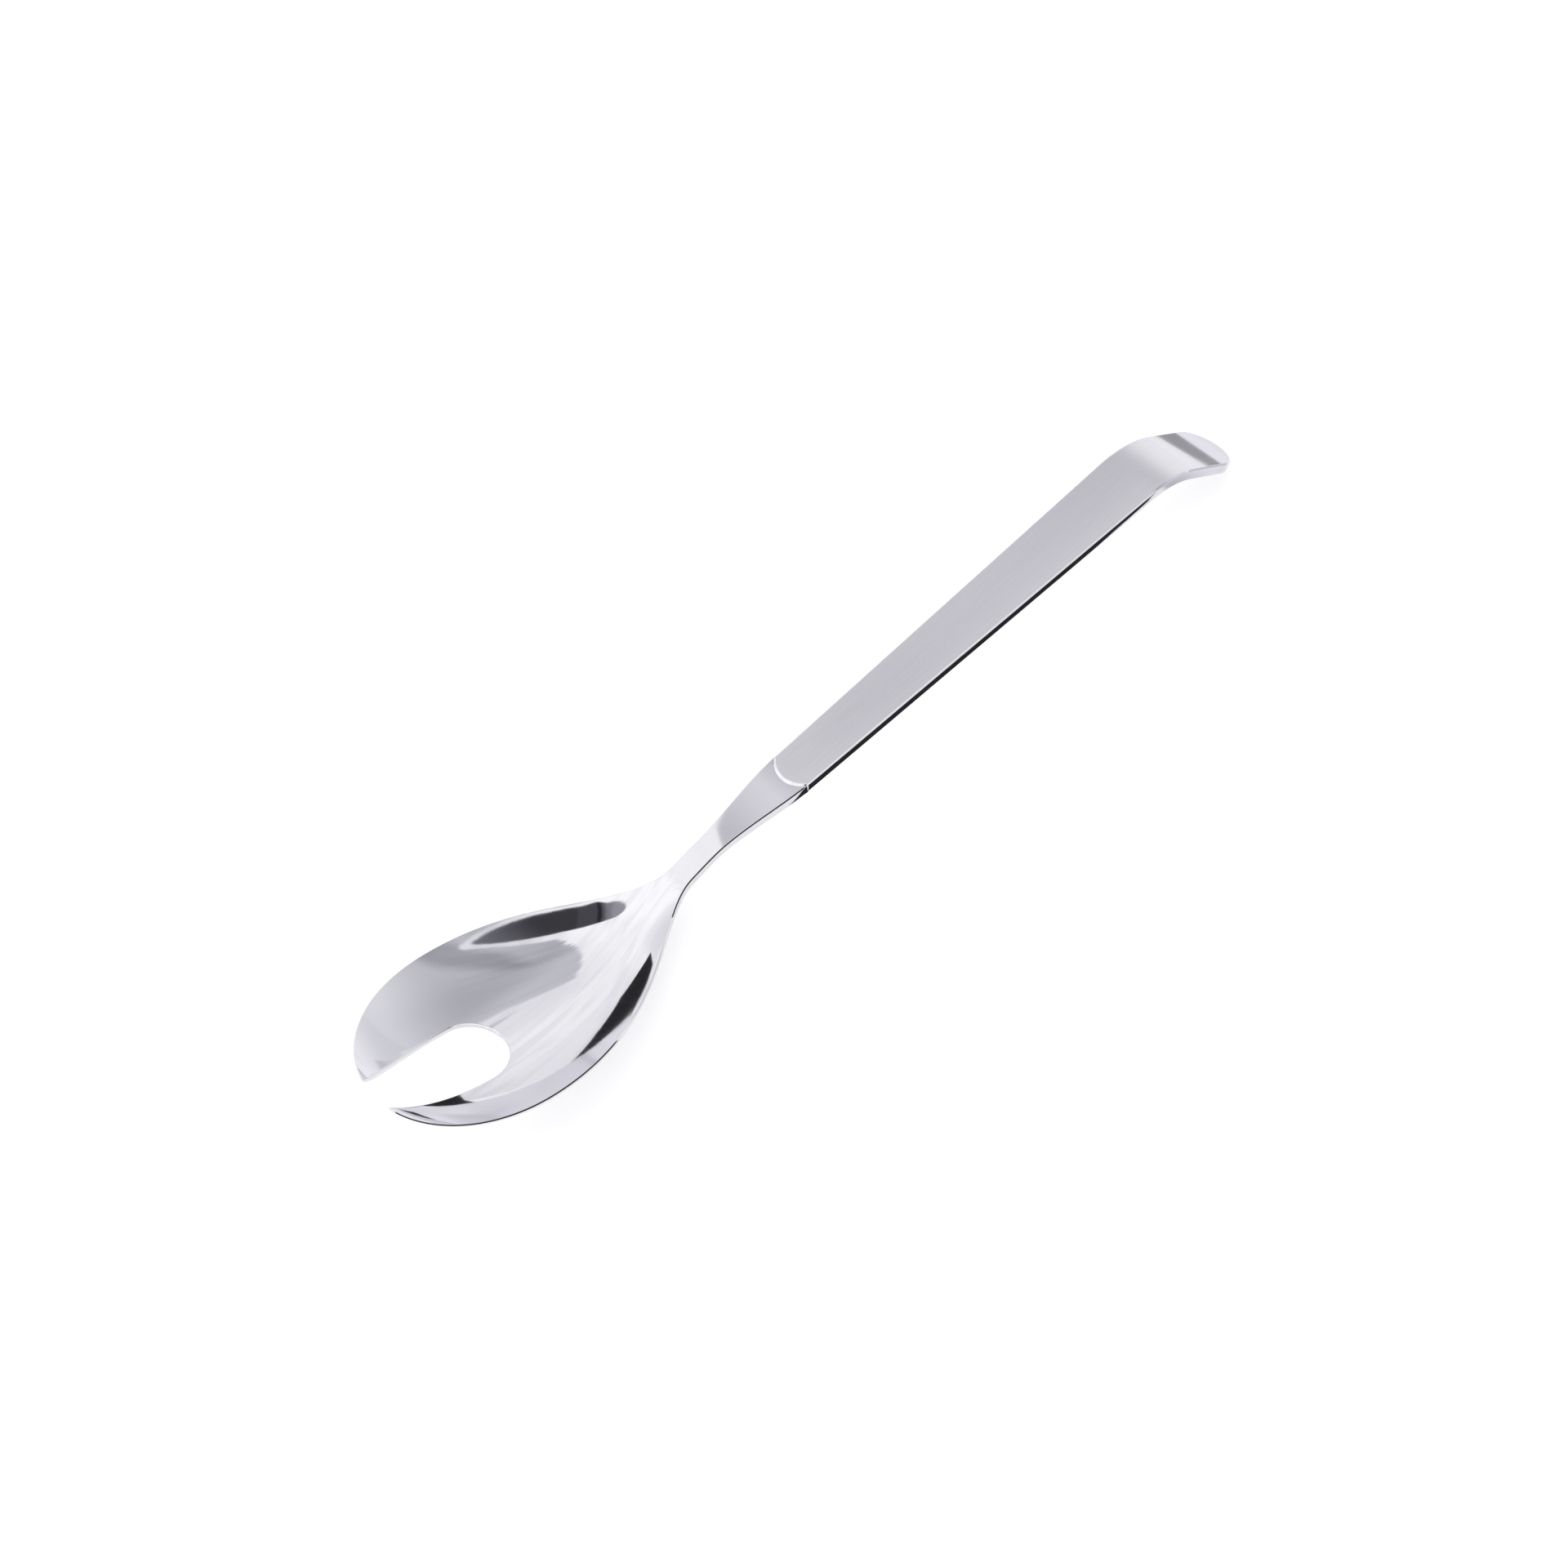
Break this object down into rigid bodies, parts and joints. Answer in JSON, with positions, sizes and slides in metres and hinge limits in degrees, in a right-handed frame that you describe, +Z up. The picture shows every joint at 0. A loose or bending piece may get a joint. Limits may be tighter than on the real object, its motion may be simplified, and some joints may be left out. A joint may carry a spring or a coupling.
{
  "type": "salad serving fork",
  "caption": "Salad serving fork with a slotted spoon-like bowl, a slim neck and a flat hollow handle that hooks down at its end.",
  "frame": {"origin": "on the surface the fork lies on, under the middle of its length and width", "axes": "+X along the fork, from the tine tips to the hooked end of the handle; +Y across it; +Z up, with the bowl's hollow facing up"},
  "size_m": [0.2908, 0.0514, 0.0253],
  "materials": {
    "polished_steel": "mirror-polished stainless steel",
    "brushed_steel": "stainless steel brushed along the handle",
    "filler_resin": "cast filler inside the handle, not seen"
  },
  "bodies": {
    "root": {"fork_head": "polished_steel", "handle_upper_shell": "brushed_steel", "handle_lower_shell": "polished_steel", "tang_filler": "filler_resin"}
  },
  "joints": []
}
